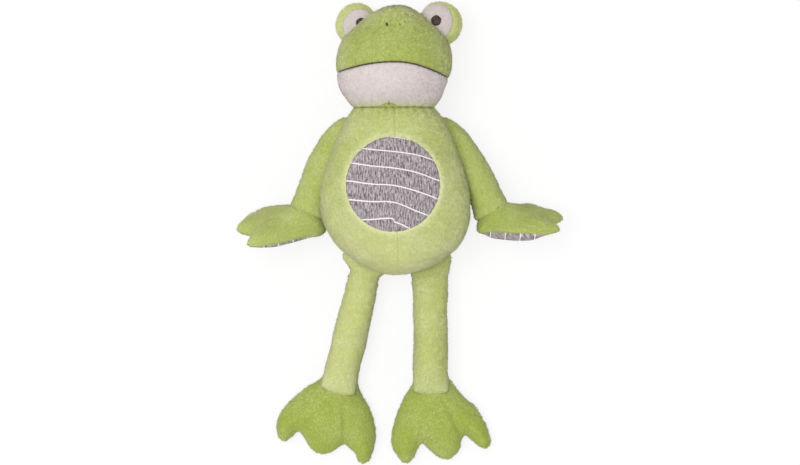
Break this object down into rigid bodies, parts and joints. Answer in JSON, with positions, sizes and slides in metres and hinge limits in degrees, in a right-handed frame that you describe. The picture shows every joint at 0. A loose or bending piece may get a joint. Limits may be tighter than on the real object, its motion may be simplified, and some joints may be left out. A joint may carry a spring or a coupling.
{
  "type": "plush frog",
  "caption": "Long-legged stuffed frog lying on its back, with sewn eye knobs, a striped belly patch, and limbs that swing at their seams.",
  "frame": {"origin": "on the flat of the back, under the middle of the torso, where the toy rests", "axes": "+Z out of the belly, +Y towards the head, +X towards the left hand"},
  "size_m": [0.2813, 0.3966, 0.0889],
  "materials": {
    "lime_plush": "short pale green pile",
    "white_plush": "short off-white pile",
    "grey_jersey": "grey melange knit, striped in white",
    "brown_yarn": "thick dark yarn",
    "green_thread": "sewing thread",
    "polyester_fibre": "loose white fibre filling"
  },
  "bodies": {
    "torso": {"torso_front_left": "lime_plush", "torso_front_right": "lime_plush", "torso_back": "lime_plush", "belly_patch": "grey_jersey", "torso_filling": "polyester_fibre"},
    "neck": {"neck_thread": "green_thread"},
    "head": {"head_crown": "lime_plush", "head_jaw": "white_plush", "head_back": "lime_plush", "head_filling": "polyester_fibre", "mouth_cord": "brown_yarn", "left_nostril_stitch": "brown_yarn", "right_nostril_stitch": "brown_yarn", "left_eye_white": "white_plush", "left_eye_back": "lime_plush", "left_eye_filling": "polyester_fibre", "left_pupil": "brown_yarn", "right_eye_white": "white_plush", "right_eye_back": "lime_plush", "right_eye_filling": "polyester_fibre", "right_pupil": "brown_yarn"},
    "left_shoulder": {"left_shoulder_thread": "green_thread"},
    "left_arm": {"left_arm_skin": "lime_plush", "left_arm_filling": "polyester_fibre"},
    "left_hand": {"left_hand_top": "lime_plush", "left_hand_sole": "grey_jersey", "left_hand_filling": "polyester_fibre"},
    "left_leg": {"left_leg_skin": "lime_plush", "left_leg_filling": "polyester_fibre"},
    "left_foot": {"left_foot_top": "lime_plush", "left_foot_sole": "grey_jersey", "left_foot_filling": "polyester_fibre"},
    "right_shoulder": {"right_shoulder_thread": "green_thread"},
    "right_arm": {"right_arm_skin": "lime_plush", "right_arm_filling": "polyester_fibre"},
    "right_hand": {"right_hand_top": "lime_plush", "right_hand_sole": "grey_jersey", "right_hand_filling": "polyester_fibre"},
    "right_leg": {"right_leg_skin": "lime_plush", "right_leg_filling": "polyester_fibre"},
    "right_foot": {"right_foot_top": "lime_plush", "right_foot_sole": "grey_jersey", "right_foot_filling": "polyester_fibre"}
  },
  "joints": [
    {"name": "neck_turn", "type": "hinge", "parent": "torso", "child": "neck", "pos_m": [0.0005, 0.0594, 0.04], "axis": [0, 1, 0], "range_deg": [-30, 30]},
    {"name": "neck_nod", "type": "hinge", "parent": "neck", "child": "head", "pos_m": [0.0005, 0.0594, 0.04], "axis": [1, 0, 0], "range_deg": [-18, 18]},
    {"name": "left_shoulder_lift", "type": "hinge", "parent": "torso", "child": "left_shoulder", "pos_m": [0.05, 0.055, 0.021], "axis": [-0.7462, -0.226, 0.6262], "range_deg": [0, 80]},
    {"name": "left_shoulder_raise", "type": "hinge", "parent": "left_shoulder", "child": "left_arm", "pos_m": [0.05, 0.055, 0.021], "axis": [0, 0, 1], "range_deg": [0, 100]},
    {"name": "left_wrist", "type": "hinge", "parent": "left_arm", "child": "left_hand", "pos_m": [0.0815, -0.0155, 0.0331], "axis": [0.0164, 0.4692, -0.8829], "range_deg": [-30, 30]},
    {"name": "left_hip", "type": "hinge", "parent": "torso", "child": "left_leg", "pos_m": [0.03, -0.064, 0.015], "axis": [-1, -0.0054, 0], "range_deg": [0, 68]},
    {"name": "left_ankle", "type": "hinge", "parent": "left_leg", "child": "left_foot", "pos_m": [0.0305, -0.1574, 0.018], "axis": [0.9826, 0.1857, 0], "range_deg": [-75, 10]},
    {"name": "right_shoulder_lift", "type": "hinge", "parent": "torso", "child": "right_shoulder", "pos_m": [-0.0505, 0.055, 0.021], "axis": [-0.7527, 0.186, -0.6316], "range_deg": [0, 80]},
    {"name": "right_shoulder_raise", "type": "hinge", "parent": "right_shoulder", "child": "right_arm", "pos_m": [-0.0505, 0.055, 0.021], "axis": [0, 0, -1], "range_deg": [0, 100]},
    {"name": "right_wrist", "type": "hinge", "parent": "right_arm", "child": "right_hand", "pos_m": [-0.0785, -0.0172, 0.0331], "axis": [0.0653, -0.4649, 0.8829], "range_deg": [-30, 30]},
    {"name": "right_hip", "type": "hinge", "parent": "torso", "child": "right_leg", "pos_m": [-0.025, -0.064, 0.015], "axis": [-0.9731, 0.2304, 0], "range_deg": [0, 68]},
    {"name": "right_ankle", "type": "hinge", "parent": "right_leg", "child": "right_foot", "pos_m": [-0.0469, -0.1565, 0.018], "axis": [0.9724, -0.2334, 0], "range_deg": [-75, 10]}
  ]
}
